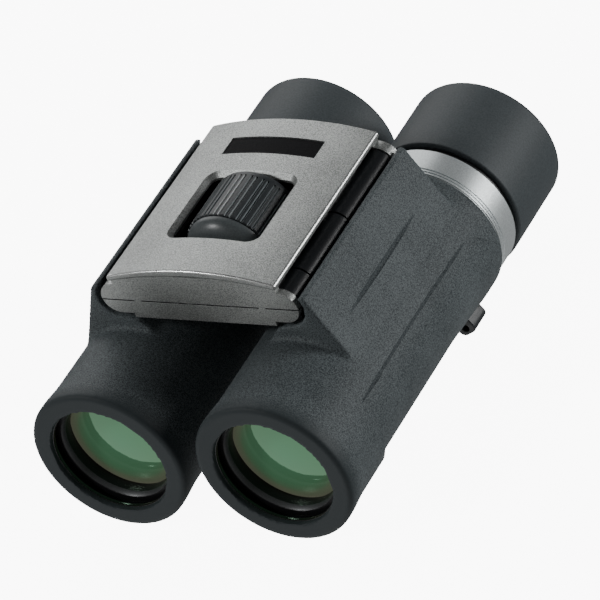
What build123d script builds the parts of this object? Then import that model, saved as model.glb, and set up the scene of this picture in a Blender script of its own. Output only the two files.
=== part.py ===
from build123d import *
from math import cos, radians, sin, sqrt
import os

# Compact folding roof-prism binoculars. Two barrels hang from the two hinges of a flat bridge,
# and the bridge carries the focus wheel. X runs across, Y along the optical axes with the
# objectives at -Y, and Z up. The origin is under the middle of the body, on the surface that
# the binoculars rest on. Distances named along the body are measured back from the front rim.

# Driving dimensions, in mm
LENGTH = 111.0          # front rim to the rear of the eyecups
HINGE_X = 20.4          # hinge axes, and the barrel axes straight below them
BARREL_Z = 18.6         # height of the barrel axes over the resting pads
HINGE_Z = BARREL_Z + 26.0
TUBE_R = 17.75          # rubber-covered barrel
RIM_R = 18.15           # swollen front rim
SKIN = 1.5              # rubber thickness on the tube
HOUSING_R = TUBE_R - SKIN
BORE_R = 14.8           # bore of the barrel housing
BODY_END = 79.0         # rear end of the rubber-covered body

# Wedge that joins a barrel to its hinge, measured from the barrel axis
WEDGE_FRONT = 22.8
WEDGE_REAR = 73.8
ROOF_ANGLE = 23.3       # the roof's normal, above horizontal
ROOF_REACH = 16.75      # the roof's distance from the barrel axis
ROOF_TOP = 28.8
WEDGE_INNER_X = -2.9
WEDGE_SKIN = 1.2
CHANNEL_R = 5.1         # channel round the hinge
HINGE_RISE = HINGE_Z - BARREL_Z

# Hinges
PIN_R = 1.5
RUNNING_FIT = 0.06
KNUCKLE_R = 3.6
KNUCKLE_SPANS = ((24.8, 31.45), (50.35, 71.2))   # on the barrel
BRIDGE_KNUCKLE = (31.9, 49.9)                    # on the bridge frame

# Bridge
PLATE_FRONT = 22.4
PLATE_REAR = 74.2
WALL_FRONT = 22.9
WALL_REAR = 73.9
FRONT_WALL = 1.7
REAR_WALL = 2.5
PLATE_X = 20.87
WALL_X = 20.2
SIDE_WALL_X = 16.2
CROWN_Z = BARREL_Z + 35.0
PLATE_EDGE_Z = BARREL_Z + 32.2
LIP = 1.35
PLATE_THICKNESS = 1.8
SPLIT_Z = BARREL_Z + 25.6
BRIDGE_BOTTOM_Z = BARREL_Z + 21.0
FLOOR = 1.4
EAR_R = 3.9

# Focus drive
WHEEL_Z = HINGE_Z + 0.6
WHEEL_R = 10.4
WHEEL_CORE_R = 9.2
WHEEL_REAR = 54.5
GRIP_FRONT = 38.9
CAP_FRONT = 35.0
SHAFT_R = 2.0
FOCUS_TRAVEL = 1.2      # each way
FINGER = (39.95, 41.85)
SLEEVE = (38.4, 43.4)
ARM = 1.5               # thickness of the focus arm, each way
ARM_SLOT = (SLEEVE[0] - FOCUS_TRAVEL - 0.4, SLEEVE[0] + ARM + FOCUS_TRAVEL + 0.4)
ARM_SLOT_WIDTH = 2.3
SLEEVE_R = 2.7
SLEEVE_NECK_R = 2.0

# Armour details
FRONT_LIP_R = 13.6      # hole in the rubber rim
GRIP_RECESS = (17.5, 76.0)
GRIP_RECESS_Z = (-15.1, 5.9)
GRIP_RECESS_R = 16.9
GRIP_RECESS_CORNER = 9.0
PAD_SPAN = (28.0, 72.0)
PAD_WIDTH = 6.0

# Strap lugs, on the lower outer side of each barrel
LUG_TURN = -60.0
LUG_SPAN = (67.2, 73.2)
LUG_WIDTH = 5.0
LUG_FOOT_R = 15.0
LUG_OUTER_R = 20.6
EYE_R = 0.9
EYE_REACH = 18.75       # from the barrel axis, so that the eye lies just outside the rubber

# Eyepiece end
RING_SPAN = (79.2, 87.0)
RING_R = 17.2
OCULAR_R = 15.3
OCULAR_BORE_R = 13.6
CUP_FRONT = 88.4
CUP_R = 17.6
SLIDING_FIT = 0.15

os.makedirs("parts", exist_ok=True)


def at(distance):
    """Y of a place that many millimetres behind the front rim."""
    return distance - LENGTH / 2


def sag(radius, height):
    """How far a sphere of that radius falls away at that height from its axis."""
    return radius - sqrt(radius**2 - height**2)


def across(distance, x=0.0, z=0.0):
    """Plane of a cross-section: its x is X, its y is Z, and extruding by a minus goes back."""
    return Plane(origin=(x, at(distance), z), x_dir=(1, 0, 0), z_dir=(0, -1, 0))


def along(x, z):
    """Upright plane along Y: its x is the distance behind the rim, its y the height over z."""
    return Plane(origin=(x, at(0), z), x_dir=(0, 1, 0), z_dir=(1, 0, 0))


def turned(x, z, *outline):
    """A closed profile for turning about a line along Y. Its points are (distance, radius)."""
    with BuildSketch(along(x, z)) as profile:
        with BuildLine():
            Polyline(*outline, close=True)
        make_face()
    return profile.sketch


def ring(x, z, front, rear, outer, inner):
    """A plain ring's profile for turning about a line along Y."""
    return turned(x, z, (front, inner), (front, outer), (rear, outer), (rear, inner))


def line_y(x, z):
    """A line along Y to turn about."""
    return Axis((x, 0, z), (0, 1, 0))


def save(part, name):
    """Label a finished piece and write it."""
    part.label = name
    export_step(part, f"parts/{name}.step")


def wedge_outline(side, skin):
    """Section of the wedge between barrel and hinge, that much inside its rubber surface."""
    reach = ROOF_REACH - skin
    top = ROOF_TOP - skin
    roof = radians(ROOF_ANGLE)
    corner = ((reach - top * sin(roof)) / cos(roof), top)
    roof_foot = (reach * cos(roof), reach * sin(roof))
    flank_foot = (-11.1 + skin, 11.5 - skin)
    inner_x = WEDGE_INNER_X + skin
    points = (corner, roof_foot, (0, 0), flank_foot, (inner_x, 20.3 - skin), (inner_x, top))
    return [(side * x, z) for x, z in points]


# --- Barrel housings: tube, wedge core and the barrel's own hinge knuckles ---
def make_housing(side):
    x = side * HINGE_X
    web = 2.6
    with BuildPart() as housing:
        revolve(ring(x, BARREL_Z, 2.0, BODY_END, HOUSING_R, 5.0), axis=line_y(x, BARREL_Z))
        with BuildSketch(across(WEDGE_FRONT + WEDGE_SKIN, x, BARREL_Z)):
            with BuildLine():
                Polyline(*wedge_outline(side, WEDGE_SKIN), close=True)
            make_face()
            with Locations((0, HINGE_RISE)):
                Circle(CHANNEL_R + WEDGE_SKIN, mode=Mode.SUBTRACT)
        extrude(amount=-(WEDGE_REAR - WEDGE_FRONT - 2 * WEDGE_SKIN))
        for front, rear in KNUCKLE_SPANS:
            with BuildSketch(across(front, x, HINGE_Z)):
                Circle(KNUCKLE_R)
                with Locations((0, -4.0)):
                    Rectangle(2 * web, 8.0)
            extrude(amount=-(rear - front))
        with BuildSketch(across(0, x, HINGE_Z)):
            Circle(PIN_R + RUNNING_FIT)
        extrude(amount=-LENGTH, mode=Mode.SUBTRACT)
        with BuildSketch(across(0, x, BARREL_Z)):
            Circle(BORE_R)
        extrude(amount=-LENGTH, mode=Mode.SUBTRACT)
        with BuildSketch(across(ARM_SLOT[0], x, BARREL_Z)):
            with Locations((0, HINGE_RISE / 2)):
                Rectangle(ARM_SLOT_WIDTH, HINGE_RISE)
        extrude(amount=-(ARM_SLOT[1] - ARM_SLOT[0]), mode=Mode.SUBTRACT)
    return housing.part


# --- Rubber armour: tube, wedge cover, thumb recess and the flat resting pad ---
def make_armour(side, housing, lug):
    x = side * HINGE_X
    with BuildPart() as armour:
        profile = turned(
            x, BARREL_Z,
            (0, FRONT_LIP_R), (0, RIM_R), (3.0, RIM_R), (7.0, TUBE_R), (BODY_END, TUBE_R), (BODY_END, 5.0),
            (1.0, 5.0), (1.0, FRONT_LIP_R),
        )
        revolve(profile, axis=line_y(x, BARREL_Z))
        front_edges = armour.edges().filter_by(GeomType.CIRCLE).group_by(Axis.Y)[0]
        fillet(front_edges.sort_by(SortBy.RADIUS)[-1], 1.5)
        with BuildSketch(across(WEDGE_FRONT, x, BARREL_Z)):
            with BuildLine():
                Polyline(*wedge_outline(side, 0), close=True)
            make_face()
            with Locations((0, HINGE_RISE)):
                Circle(CHANNEL_R, mode=Mode.SUBTRACT)
            with BuildLine():
                Polyline((0, 20.9), (side * -4, 20.15), (side * -4, 30), (0, 30), close=True)
            make_face(mode=Mode.SUBTRACT)
        extrude(amount=-(WEDGE_REAR - WEDGE_FRONT))
        # recess for the fingers, down the outer side
        recess_front, recess_rear = GRIP_RECESS
        recess_low, recess_high = GRIP_RECESS_Z
        with BuildSketch(along(x, BARREL_Z)):
            with Locations(((recess_front + recess_rear) / 2, (recess_low + recess_high) / 2)):
                RectangleRounded(recess_rear - recess_front, recess_high - recess_low, GRIP_RECESS_CORNER)
        cutter = extrude(amount=side * HINGE_X, mode=Mode.PRIVATE)
        core_ring = ring(x, BARREL_Z, 0, LENGTH, GRIP_RECESS_R, 1.0)
        core = revolve(core_ring, axis=line_y(x, BARREL_Z), mode=Mode.PRIVATE)
        add(cutter - core, mode=Mode.SUBTRACT)
        with BuildSketch(across(PAD_SPAN[0], x, BARREL_Z)):
            with Locations((0, -(BARREL_Z + BORE_R) / 2)):
                Rectangle(PAD_WIDTH, BARREL_Z - BORE_R)
        extrude(amount=-(PAD_SPAN[1] - PAD_SPAN[0]))
        with BuildSketch(across(ARM_SLOT[0], x, BARREL_Z)):
            with Locations((0, HINGE_RISE / 2)):
                Rectangle(ARM_SLOT_WIDTH, HINGE_RISE)
        extrude(amount=-(ARM_SLOT[1] - ARM_SLOT[0]), mode=Mode.SUBTRACT)
        add(housing, mode=Mode.SUBTRACT)
        add(lug, mode=Mode.SUBTRACT)
        with BuildSketch(across(1.0, x, BARREL_Z)):
            Circle(HOUSING_R)
        extrude(amount=-LENGTH, mode=Mode.SUBTRACT)
    return armour.part


# --- Strap lugs: an eye on the lower outer side of each barrel ---
def make_lug(side):
    x = side * HINGE_X
    turn = LUG_TURN if side > 0 else 180 - LUG_TURN
    outward = (cos(radians(turn)), sin(radians(turn)))
    middle = (LUG_FOOT_R + LUG_OUTER_R) / 2
    with BuildPart() as lug:
        with BuildSketch(across(LUG_SPAN[0], x, BARREL_Z)):
            with Locations(Location((middle * outward[0], middle * outward[1], 0), (0, 0, turn))):
                RectangleRounded(LUG_OUTER_R - LUG_FOOT_R, LUG_WIDTH, 1.6)
            with Locations((EYE_REACH * outward[0], EYE_REACH * outward[1])):
                Circle(EYE_R, mode=Mode.SUBTRACT)
            Circle(HOUSING_R, mode=Mode.SUBTRACT)
        extrude(amount=-(LUG_SPAN[1] - LUG_SPAN[0]))
    return lug.part


# --- Front bezel, objective cell with its focus arm, lenses and retaining ring ---
def make_bezel(side):
    x = side * HINGE_X
    with BuildPart() as bezel:
        revolve(ring(x, BARREL_Z, 1.0, 2.0, HOUSING_R, 13.5), axis=line_y(x, BARREL_Z))
    return bezel.part


def make_cell(side):
    x = side * HINGE_X
    with BuildPart() as cell:
        profile = turned(
            x, BARREL_Z, (6.9, 13.0), (6.9, 14.6), (41.5, 14.6), (41.5, 13.4), (16.0, 13.4), (16.0, 12.2), (14.2, 12.2),
            (14.2, 13.0),
        )
        revolve(profile, axis=line_y(x, BARREL_Z))
        with BuildSketch(across(SLEEVE[0], x, BARREL_Z)):
            with Locations((0, (14.0 + HINGE_RISE) / 2)):
                Rectangle(ARM, HINGE_RISE - 14.0)
        extrude(amount=-ARM)
        profile = turned(
            x, HINGE_Z,
            (SLEEVE[0], 0.5), (SLEEVE[0], SLEEVE_R), (FINGER[0] - 0.05, SLEEVE_R), (FINGER[0] - 0.05, SLEEVE_NECK_R),
            (FINGER[1] + 0.05, SLEEVE_NECK_R), (FINGER[1] + 0.05, SLEEVE_R), (SLEEVE[1], SLEEVE_R), (SLEEVE[1], 0.5),
        )
        revolve(profile, axis=line_y(x, HINGE_Z))
        with BuildSketch(across(SLEEVE[0] - 1, x, HINGE_Z)):
            Circle(PIN_R + RUNNING_FIT)
        extrude(amount=-8, mode=Mode.SUBTRACT)
    return cell.part


def make_retainer(side):
    x = side * HINGE_X
    with BuildPart() as retainer:
        profile = turned(x, BARREL_Z, (3.4, 12.8), (3.4, 14.5), (6.9, 14.5), (6.9, 12.4), (4.7, 12.4))
        revolve(profile, axis=line_y(x, BARREL_Z))
    return retainer.part


def make_lens(side, radius, front, front_radius, rear, rear_radius):
    """A turned lens. A surface's radius is positive where its centre lies behind it."""
    x = side * HINGE_X
    surfaces = []
    for vertex, curve in ((front, front_radius), (rear, rear_radius)):
        bend = 1 if curve > 0 else -1
        surfaces.append([(vertex + bend * sag(abs(curve), height), height) for height in (0, radius / 2, radius)])
    with BuildPart() as lens:
        with BuildSketch(along(x, BARREL_Z)):
            with BuildLine():
                ThreePointArc(*surfaces[0])
                Line(surfaces[0][2], surfaces[1][2])
                ThreePointArc(*surfaces[1])
                Line(surfaces[1][0], surfaces[0][0])
            make_face()
        revolve(axis=line_y(x, BARREL_Z))
    return lens.part


# --- Prism holder with its two prisms ---
PRISM_HALF = 9.0
PRISM_SPAN = (46.0, 71.5)
PRISM_GAP = 0.4


def make_prism_holder(side):
    x = side * HINGE_X
    with BuildPart() as holder:
        with BuildSketch(across(44.0, x, BARREL_Z)):
            Circle(BORE_R - 0.05)
            Circle(7.5, mode=Mode.SUBTRACT)
        extrude(amount=-30)
        with BuildSketch(across(PRISM_SPAN[0], x, BARREL_Z)):
            Rectangle(2 * PRISM_HALF, 2 * PRISM_HALF)
        extrude(amount=-(PRISM_SPAN[1] - PRISM_SPAN[0]), mode=Mode.SUBTRACT)
        with BuildSketch(across(49.0, x + side * 12, BARREL_Z)):
            Rectangle(8.0, 12.0)
        extrude(amount=-19, mode=Mode.SUBTRACT)
    return holder.part


def make_prism(side, outline, roofed):
    """One prism of the pair, from its outline in the YZ plane; a roofed one has its ridge cut."""
    x = side * HINGE_X
    with BuildPart() as prism:
        with BuildSketch(along(x - PRISM_HALF, BARREL_Z)):
            with BuildLine():
                Polyline(*outline, close=True)
            make_face()
        extrude(amount=2 * PRISM_HALF)
        if roofed:
            with BuildSketch(across(PRISM_SPAN[0], x, BARREL_Z)):
                for edge in (-1, 1):
                    with BuildLine():
                        Polyline(
                            (edge * PRISM_HALF, -PRISM_HALF), (0, -PRISM_HALF), (edge * PRISM_HALF, -2.0), close=True
                        )
                    make_face()
            extrude(amount=-(PRISM_SPAN[1] - PRISM_SPAN[0]), mode=Mode.SUBTRACT)
    return prism.part


# --- Eyepiece: tube, cell with two lenses, ring, stop ring, eyecup guide and eyecup ---
def make_ocular_tube(side):
    x = side * HINGE_X
    with BuildPart() as tube:
        profile = turned(
            x, BARREL_Z, (74.6, OCULAR_BORE_R), (74.6, BORE_R - 0.05), (79.0, BORE_R - 0.05), (79.0, OCULAR_R),
            (104.0, OCULAR_R), (104.0, OCULAR_BORE_R),
        )
        revolve(profile, axis=line_y(x, BARREL_Z))
    return tube.part


def make_eyepiece_cell(side):
    x = side * HINGE_X
    outer = OCULAR_BORE_R - SLIDING_FIT
    with BuildPart() as cell:
        profile = turned(
            x, BARREL_Z,
            (82.0, 10.05), (82.0, outer), (102.6, outer), (102.6, 9.05), (98.0, 9.05), (98.0, 8.2), (96.6, 8.2),
            (96.6, 9.2), (88.6, 9.2), (88.6, 10.05),
        )
        revolve(profile, axis=line_y(x, BARREL_Z))
    return cell.part


def make_ocular_ring(side):
    x = side * HINGE_X
    inner = OCULAR_R + 0.1
    groove = 0.2
    with BuildPart() as trim:
        outline = [(RING_SPAN[0], inner), (RING_SPAN[0], RING_R - groove)]
        for start in (79.5, 80.3):
            outline += [(start, RING_R - groove), (start, RING_R), (start + 0.5, RING_R), (start + 0.5, RING_R - groove)]
        outline += [(81.1, RING_R - groove), (81.1, RING_R), (RING_SPAN[1], RING_R), (RING_SPAN[1], inner)]
        revolve(turned(x, BARREL_Z, *outline), axis=line_y(x, BARREL_Z))
    return trim.part


def make_stop_ring(side):
    x = side * HINGE_X
    with BuildPart() as stop:
        revolve(ring(x, BARREL_Z, 87.15, 88.1, 16.5, OCULAR_R), axis=line_y(x, BARREL_Z))
    return stop.part


def make_cup_guide(side):
    x = side * HINGE_X
    with BuildPart() as guide:
        inner = OCULAR_R + SLIDING_FIT
        revolve(ring(x, BARREL_Z, CUP_FRONT, 103.8, 16.2, inner), axis=line_y(x, BARREL_Z))
        # helical cam slots, drawn as three slanted windows
        with BuildSketch(along(x, BARREL_Z)):
            with Locations((96.0, 0)):
                SlotOverall(9.0, 1.8, rotation=55)
        window = extrude(amount=20, mode=Mode.PRIVATE)
        for turn in (0, 120, 240):
            add(window.rotate(line_y(x, BARREL_Z), turn), mode=Mode.SUBTRACT)
    return guide.part


def make_eyecup(side):
    x = side * HINGE_X
    with BuildPart() as cup:
        profile = turned(
            x, BARREL_Z,
            (CUP_FRONT, 16.35), (CUP_FRONT, CUP_R), (LENGTH, CUP_R), (LENGTH, 14.4), (105.0, 11.0), (104.6, 11.0),
            (104.6, 16.35),
        )
        revolve(profile, axis=line_y(x, BARREL_Z))
        rear_edges = cup.edges().filter_by(GeomType.CIRCLE).group_by(Axis.Y)[-1]
        fillet(rear_edges.sort_by(SortBy.RADIUS)[-1], 1.4)
        fillet(cup.edges().filter_by(GeomType.CIRCLE).group_by(Axis.Y)[-1].sort_by(SortBy.RADIUS)[0], 0.6)
    return cup.part


# --- Bridge covers: a clamshell round the hinge pins, split at mid height ---
def end_wall_outline(upper):
    """Half of the end wall's section, on the +X side, above or below the split."""
    split = SPLIT_Z - HINGE_Z
    reach = sqrt(EAR_R**2 - split**2)
    ear = HINGE_X + EAR_R * sin(radians(45)), EAR_R * cos(radians(45))
    if upper:
        with BuildLine() as outline:
            Polyline((0, split), (HINGE_X + reach, split))
            ThreePointArc((HINGE_X + reach, split), ear, (HINGE_X, EAR_R))
            Polyline((HINGE_X, EAR_R), (WALL_X, EAR_R), (WALL_X, 5.2), (0, 7.6), (0, split))
    else:
        with BuildLine() as outline:
            Polyline((0, split), (HINGE_X + reach, split))
            ThreePointArc((HINGE_X + reach, split), (ear[0], -ear[1]), (HINGE_X, -EAR_R))
            Polyline((HINGE_X, -EAR_R), (17.5, -EAR_R), (17.5, -5.0), (0, -5.0), (0, split))
    return outline.line


SCREWS = [(x, distance) for x in (-8, 8) for distance in (27.6, 69.1)]
WALLS = ((WALL_FRONT, WALL_FRONT + FRONT_WALL), (WALL_REAR - REAR_WALL, WALL_REAR))
SIDE_WALLS = ((WALL_FRONT, 31.6), (50.2, WALL_REAR))
WINDOW = (34.5, 55.1)
PIN_SPAN = (23.5, 73.3)
BADGE = (62.0, 67.7)
BADGE_X = 11.6

with BuildPart() as bridge_top_cover:
    with BuildSketch(across(PLATE_FRONT)):
        with BuildLine():
            ThreePointArc((-PLATE_X, PLATE_EDGE_Z), (0, CROWN_Z), (PLATE_X, PLATE_EDGE_Z))
            Line((PLATE_X, PLATE_EDGE_Z), (PLATE_X, PLATE_EDGE_Z - LIP))
            ThreePointArc(
                (PLATE_X, PLATE_EDGE_Z - LIP), (0, CROWN_Z - PLATE_THICKNESS), (-PLATE_X, PLATE_EDGE_Z - LIP)
            )
            Line((-PLATE_X, PLATE_EDGE_Z - LIP), (-PLATE_X, PLATE_EDGE_Z))
        make_face()
    extrude(amount=-(PLATE_REAR - PLATE_FRONT))
    for front, rear in WALLS:
        with BuildSketch(across(front, 0, HINGE_Z)):
            with BuildLine():
                add(end_wall_outline(True))
            make_face()
            mirror(about=Plane.YZ)
        extrude(amount=-(rear - front))
    for front, rear in SIDE_WALLS:
        with BuildSketch(across(front, 0, SPLIT_Z)):
            with Locations((SIDE_WALL_X - 0.8, 3.2), (0.8 - SIDE_WALL_X, 3.2)):
                Rectangle(1.6, 6.4)
        extrude(amount=-(rear - front))
    for x, distance in SCREWS:
        with BuildSketch(Plane.XY.offset(HINGE_Z - 2.0)):
            with Locations((x, at(distance))):
                Circle(2.0)
        extrude(amount=9.0)
    with BuildSketch(Plane.XY.offset(HINGE_Z - 3)):
        with Locations([(x, at(distance)) for x, distance in SCREWS]):
            Circle(1.0)
    extrude(amount=8.0, mode=Mode.SUBTRACT)
    with BuildSketch(across(PIN_SPAN[0])):
        with Locations((HINGE_X, HINGE_Z), (-HINGE_X, HINGE_Z)):
            Circle(PIN_R)
    extrude(amount=-(PIN_SPAN[1] - PIN_SPAN[0]), mode=Mode.SUBTRACT)
    with BuildSketch(Plane.XY.offset(HINGE_Z)):
        with Locations((0, at(sum(WINDOW) / 2))):
            RectangleRounded(21.2, WINDOW[1] - WINDOW[0], 2.0)
    extrude(amount=20, mode=Mode.SUBTRACT)
    with BuildSketch(Plane.XY.offset(CROWN_Z - 1.7)):
        with Locations((0, at(sum(WINDOW) / 2))):
            RectangleRounded(21.0, WINDOW[1] - WINDOW[0] - 0.2, 2.0)
    extrude(amount=2.0, taper=-32, mode=Mode.SUBTRACT)
    with BuildSketch(across(BADGE[0])):
        with BuildLine():
            ThreePointArc((-PLATE_X, PLATE_EDGE_Z - 0.6), (0, CROWN_Z - 0.6), (PLATE_X, PLATE_EDGE_Z - 0.6))
            Polyline(
                (PLATE_X, PLATE_EDGE_Z - 0.6), (PLATE_X, CROWN_Z + 1), (-PLATE_X, CROWN_Z + 1),
                (-PLATE_X, PLATE_EDGE_Z - 0.6),
            )
        make_face()
        with Locations((0, CROWN_Z)):
            Rectangle(2 * BADGE_X, 8, mode=Mode.INTERSECT)
    extrude(amount=-(BADGE[1] - BADGE[0]), mode=Mode.SUBTRACT)
save(bridge_top_cover.part, "bridge_top_cover")

with BuildPart() as badge_plate:
    with BuildSketch(across(BADGE[0] + 0.15)):
        with BuildLine():
            ThreePointArc((-PLATE_X, PLATE_EDGE_Z - 0.6), (0, CROWN_Z - 0.6), (PLATE_X, PLATE_EDGE_Z - 0.6))
            Line((PLATE_X, PLATE_EDGE_Z - 0.6), (PLATE_X, PLATE_EDGE_Z - 0.2))
            ThreePointArc((PLATE_X, PLATE_EDGE_Z - 0.2), (0, CROWN_Z - 0.2), (-PLATE_X, PLATE_EDGE_Z - 0.2))
            Line((-PLATE_X, PLATE_EDGE_Z - 0.2), (-PLATE_X, PLATE_EDGE_Z - 0.6))
        make_face()
        with Locations((0, CROWN_Z)):
            Rectangle(2 * BADGE_X - 0.3, 8, mode=Mode.INTERSECT)
    extrude(amount=-(BADGE[1] - BADGE[0] - 0.3))
save(badge_plate.part, "badge_plate")

with BuildPart() as bridge_bottom_cover:
    with BuildSketch(across(WALL_FRONT)):
        with Locations((0, BRIDGE_BOTTOM_Z + FLOOR / 2)):
            Rectangle(2 * SIDE_WALL_X, FLOOR)
    extrude(amount=-(WALL_REAR - WALL_FRONT))
    for front, rear in WALLS:
        with BuildSketch(across(front, 0, HINGE_Z)):
            with BuildLine():
                add(end_wall_outline(False))
            make_face()
            mirror(about=Plane.YZ)
        extrude(amount=-(rear - front))
    for front, rear in SIDE_WALLS:
        with BuildSketch(across(front, 0, BRIDGE_BOTTOM_Z)):
            side_height = SPLIT_Z - BRIDGE_BOTTOM_Z
            with Locations((SIDE_WALL_X - 0.8, side_height / 2), (0.8 - SIDE_WALL_X, side_height / 2)):
                Rectangle(1.6, side_height)
        extrude(amount=-(rear - front))
    with BuildSketch(across(PIN_SPAN[0])):
        with Locations((HINGE_X, HINGE_Z), (-HINGE_X, HINGE_Z)):
            Circle(PIN_R)
    extrude(amount=-(PIN_SPAN[1] - PIN_SPAN[0]), mode=Mode.SUBTRACT)
    with BuildSketch(Plane.XY.offset(BRIDGE_BOTTOM_Z)):
        with Locations((0, at(sum(WINDOW) / 2))):
            RectangleRounded(20.2, WINDOW[1] - WINDOW[0] + 1.2, 2.0)
    extrude(amount=FLOOR, mode=Mode.SUBTRACT)
    with Locations([(x, at(distance), BRIDGE_BOTTOM_Z) for x, distance in SCREWS]):
        with Locations(Location((0, 0, 0), (180, 0, 0))):
            CounterBoreHole(radius=1.1, counter_bore_radius=2.1, counter_bore_depth=0.7, depth=FLOOR)
save(bridge_bottom_cover.part, "bridge_bottom_cover")

# --- Bridge frame: floor, rails, shaft bearings and the middle hinge knuckles ---
FRAME_BOTTOM = HINGE_Z - 3.5
RAIL_INNER = 12.9
RAIL_OUTER = 14.4
FRAME_SPAN = (24.8, 71.2)

with BuildPart() as bridge_frame:
    with BuildSketch(across(FRAME_SPAN[0], 0, FRAME_BOTTOM)):
        with Locations((0, 0.7)):
            Rectangle(2 * RAIL_OUTER, 1.4)
        rail_middle = (RAIL_INNER + RAIL_OUTER) / 2
        with Locations((rail_middle, 3.3), (-rail_middle, 3.3)):
            Rectangle(RAIL_OUTER - RAIL_INNER, 6.6)
    extrude(amount=-(FRAME_SPAN[1] - FRAME_SPAN[0]))
    for front, rear, half in ((30.6, 32.6, RAIL_INNER), (56.6, 58.2, 10.4)):
        with BuildSketch(across(front, 0, FRAME_BOTTOM)):
            with Locations((0, 3.9)):
                Rectangle(2 * half, 7.8)
        extrude(amount=-(rear - front))
    for side in (-1, 1):
        with BuildSketch(across(BRIDGE_KNUCKLE[0], side * HINGE_X, HINGE_Z)):
            Circle(KNUCKLE_R)
            with Locations((side * -3.2, 0.2)):
                Rectangle(6.4, 5.6)
        extrude(amount=-(BRIDGE_KNUCKLE[1] - BRIDGE_KNUCKLE[0]))
        # bay in which the objective cell's sleeve slides along the pin
        with BuildSketch(across(SLEEVE[0] - FOCUS_TRAVEL - 0.5, side * HINGE_X, HINGE_Z)):
            Circle(SLEEVE_R + 0.25)
            with Locations((0, -2.2)):
                Rectangle(7.4, 6.2)
        extrude(amount=-(SLEEVE[1] - SLEEVE[0] + 2 * FOCUS_TRAVEL + 1.0), mode=Mode.SUBTRACT)
        with BuildSketch(across(FINGER[0] - FOCUS_TRAVEL - 0.4, side * 15.5, HINGE_Z)):
            Rectangle(7.0, 2.4)
        extrude(amount=-(FINGER[1] - FINGER[0] + 2 * FOCUS_TRAVEL + 0.8), mode=Mode.SUBTRACT)
        with BuildSketch(across(FRAME_SPAN[0], side * HINGE_X, HINGE_Z)):
            Circle(PIN_R)
        extrude(amount=-(FRAME_SPAN[1] - FRAME_SPAN[0]), mode=Mode.SUBTRACT)
    with BuildSketch(Plane.XY.offset(FRAME_BOTTOM)):
        with Locations((0, at(sum(WINDOW) / 2))):
            Rectangle(2 * WHEEL_R + 0.9, WINDOW[1] - WINDOW[0] + 1.4)
        with Locations([(x, at(distance)) for x, distance in SCREWS]):
            Circle(2.3)
    extrude(amount=1.4, mode=Mode.SUBTRACT)
    with BuildSketch(across(FRAME_SPAN[0], 0, WHEEL_Z)):
        Circle(SHAFT_R + RUNNING_FIT)
    extrude(amount=-(FRAME_SPAN[1] - FRAME_SPAN[0]), mode=Mode.SUBTRACT)
save(bridge_frame.part, "bridge_frame")

# --- Hinge pins, held in the clamshell's blind ears ---
for name, side in (("left", -1), ("right", 1)):
    with BuildPart() as pin:
        with BuildSketch(across(PIN_SPAN[0], side * HINGE_X, HINGE_Z)):
            Circle(PIN_R)
        extrude(amount=-(PIN_SPAN[1] - PIN_SPAN[0]))
    save(pin.part, f"{name}_hinge_pin")

# --- Cover screws, up through the floor into the top cover's posts ---
with BuildPart() as cover_screws:
    for x, distance in SCREWS:
        with BuildSketch(Plane.XY.offset(BRIDGE_BOTTOM_Z + 0.05)):
            with Locations((x, at(distance))):
                Circle(1.9)
        extrude(amount=0.65)
        with BuildSketch(Plane.XY.offset(BRIDGE_BOTTOM_Z + 0.5)):
            with Locations((x, at(distance))):
                Circle(0.95)
        extrude(amount=7.0)
        with BuildSketch(Plane.XY.offset(BRIDGE_BOTTOM_Z + 0.05)):
            with Locations((x, at(distance))):
                Rectangle(2.2, 0.4)
                Rectangle(0.4, 2.2)
        extrude(amount=0.35, mode=Mode.SUBTRACT)
save(cover_screws.part, "cover_screws")

# --- Focus wheel: core, ribbed grip, domed cap, shaft and its two clips ---
with BuildPart() as focus_wheel_core:
    revolve(ring(0, WHEEL_Z, 37.0, WHEEL_REAR - 0.6, WHEEL_CORE_R, SHAFT_R), axis=line_y(0, WHEEL_Z))
save(focus_wheel_core.part, "focus_wheel_core")

RIBS = 24
with BuildPart() as focus_wheel_grip:
    with BuildSketch(across(GRIP_FRONT, 0, WHEEL_Z)):
        Circle(WHEEL_R)
        with PolarLocations(WHEEL_R, RIBS):
            with Locations((0, 0.55), (0, -0.55)):
                Circle(0.32, mode=Mode.SUBTRACT)
        Circle(WHEEL_CORE_R, mode=Mode.SUBTRACT)
    extrude(amount=-(WHEEL_REAR - GRIP_FRONT))
save(focus_wheel_grip.part, "focus_wheel_grip")

with BuildPart() as focus_wheel_cap:
    with BuildSketch(along(0, WHEEL_Z)):
        with BuildLine():
            Line((CAP_FRONT, SHAFT_R), (CAP_FRONT, 5.4))
            ThreePointArc((CAP_FRONT, 5.4), (36.2, 8.6), (GRIP_FRONT, 10.0))
            Polyline((GRIP_FRONT, 10.0), (GRIP_FRONT, WHEEL_CORE_R), (37.0, WHEEL_CORE_R), (37.0, SHAFT_R))
            Line((37.0, SHAFT_R), (CAP_FRONT, SHAFT_R))
        make_face()
    revolve(axis=line_y(0, WHEEL_Z))
save(focus_wheel_cap.part, "focus_wheel_cap")

with BuildPart() as focus_screw:
    outline = [(29.0, 0), (29.0, SHAFT_R), (60.0, SHAFT_R)]
    for step in range(9):
        start = 60.0 + step
        outline += [(start, SHAFT_R), (start + 0.5, SHAFT_R - 0.3), (start + 1.0, SHAFT_R)]
    outline += [(69.5, SHAFT_R), (69.5, 0)]
    revolve(turned(0, WHEEL_Z, *dict.fromkeys(outline)), axis=line_y(0, WHEEL_Z))
save(focus_screw.part, "focus_screw")

with BuildPart() as shaft_clips:
    for front in (29.6, 58.4):
        revolve(ring(0, WHEEL_Z, front, front + 0.8, 2.6, SHAFT_R), axis=line_y(0, WHEEL_Z))
save(shaft_clips.part, "shaft_clips")

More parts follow.
